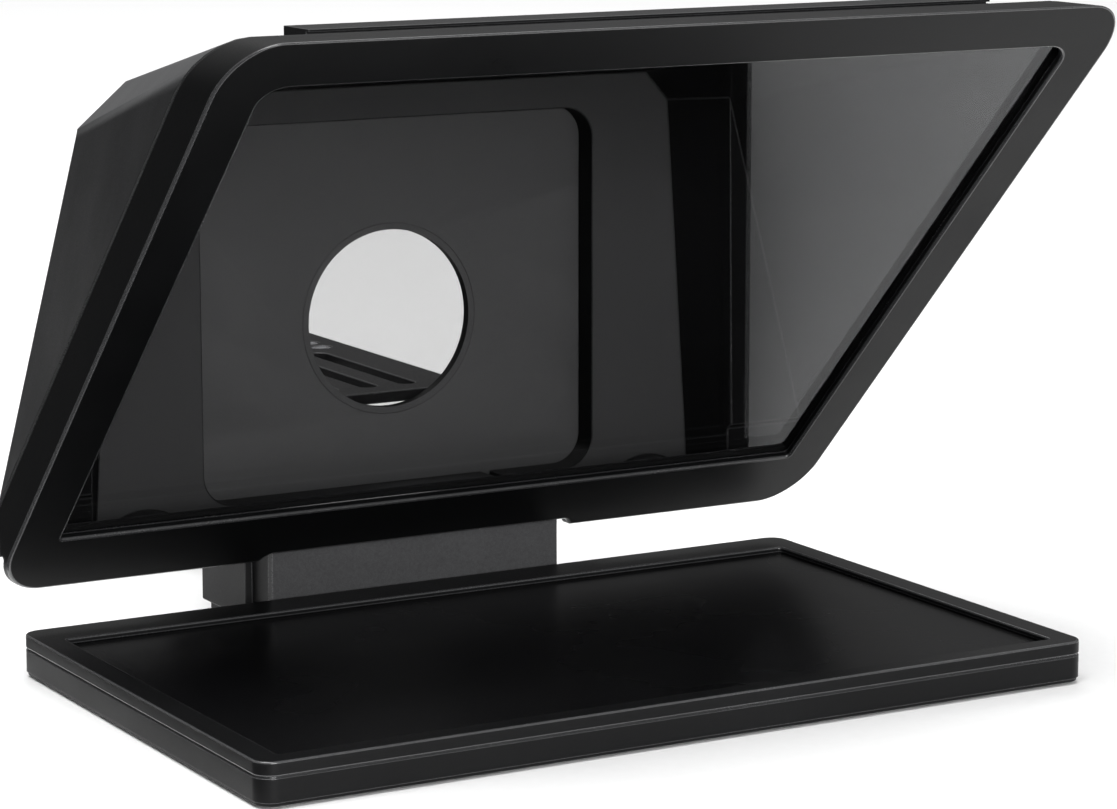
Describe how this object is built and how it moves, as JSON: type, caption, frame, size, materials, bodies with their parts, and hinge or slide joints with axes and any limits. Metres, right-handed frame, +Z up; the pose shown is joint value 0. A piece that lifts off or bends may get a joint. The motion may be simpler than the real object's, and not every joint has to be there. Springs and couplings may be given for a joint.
{
  "type": "teleprompter",
  "caption": "Desktop teleprompter: flat display under a tilted beam-splitter glass, with a dark hood, lens opening and sliding slotted camera plate.",
  "frame": {"origin": "centre of the bounding box on the plane the display's pads stand on", "axes": "+Z up, -Y towards the person reading the screen, +Y towards the camera, +X to the reader's right"},
  "size_m": [0.229, 0.2956, 0.1624],
  "materials": {
    "satin_shell": "fine-grained satin",
    "tray_plastic": "satin",
    "frame_plastic": "smooth satin",
    "neck_plastic": "satin",
    "screen": "satin-gloss screen surface",
    "lcd": "polarised glass",
    "white_plastic": "white",
    "circuit_board": "green solder mask",
    "chip": "moulded epoxy",
    "flex": "polyimide",
    "screw_steel": "zinc plated",
    "rubber": "matte",
    "brass": "turned",
    "socket_steel": "drawn shell",
    "splitter_glass": "partly reflective coating",
    "foam": "closed-cell foam",
    "magnet": "nickel plated",
    "rail_aluminium": "black anodised",
    "bracket_metal": "black powder coat",
    "knob_plastic": "moulded",
    "nylon": "natural nylon",
    "thread_steel": "turned stainless"
  },
  "bodies": {
    "base": {"display_lower_shell": "tray_plastic", "display_bezel": "tray_plastic", "screen_glass": "screen", "lcd_cell": "lcd", "backlight_unit": "white_plastic", "driver_board": "circuit_board", "board_chips": "chip", "display_flex": "flex", "tray_screws": "screw_steel", "tray_pads": "rubber", "base_housing": "satin_shell", "neck_cover": "neck_plastic", "thread_insert": "brass", "usb_socket": "socket_steel", "usb_board": "circuit_board", "base_screws": "screw_steel", "front_frame": "frame_plastic", "beam_splitter": "splitter_glass", "glass_gasket": "foam", "glass_clips": "frame_plastic", "clip_screws": "screw_steel", "hood_shell": "satin_shell", "accessory_rail": "rail_aluminium", "hood_magnets": "magnet", "backplate": "satin_shell", "keeper_discs": "screw_steel", "lens_ring": "foam", "arm_rail": "rail_aluminium", "arm_screws": "screw_steel", "arm_end_cap": "knob_plastic"},
    "carriage": {"carriage": "satin_shell"},
    "rail_knob": {"rail_knob": "knob_plastic"},
    "height_knob": {"height_knob": "knob_plastic"},
    "riser": {"riser_bracket": "bracket_metal", "camera_plate": "bracket_metal", "plate_screws": "screw_steel"},
    "slider": {"screw_washer": "nylon"},
    "camera_screw": {"camera_screw": "thread_steel"}
  },
  "joints": [
    {"name": "carriage_slide", "type": "slide", "parent": "base", "child": "carriage", "axis": [0, 1, 0], "range_m": [0, 0.044]},
    {"name": "rail_knob_turn", "type": "hinge", "parent": "carriage", "child": "rail_knob", "pos_m": [0.021, 0.08678, 0.0185], "axis": [1, 0, 0], "range_deg": [0, 270]},
    {"name": "height_knob_turn", "type": "hinge", "parent": "carriage", "child": "height_knob", "pos_m": [-0.021, 0.08678, 0.0185], "axis": [-1, 0, 0], "range_deg": [0, 270]},
    {"name": "riser_slide", "type": "slide", "parent": "carriage", "child": "riser", "axis": [0, 0, 1], "range_m": [-0.012, 0]},
    {"name": "screw_slide", "type": "slide", "parent": "riser", "child": "slider", "axis": [0, 1, 0], "range_m": [-0.0415, 0.005]},
    {"name": "screw_turn", "type": "hinge", "parent": "slider", "child": "camera_screw", "pos_m": [0, 0.06278, 0.0537], "axis": [0, 0, 1], "continuous": true}
  ]
}
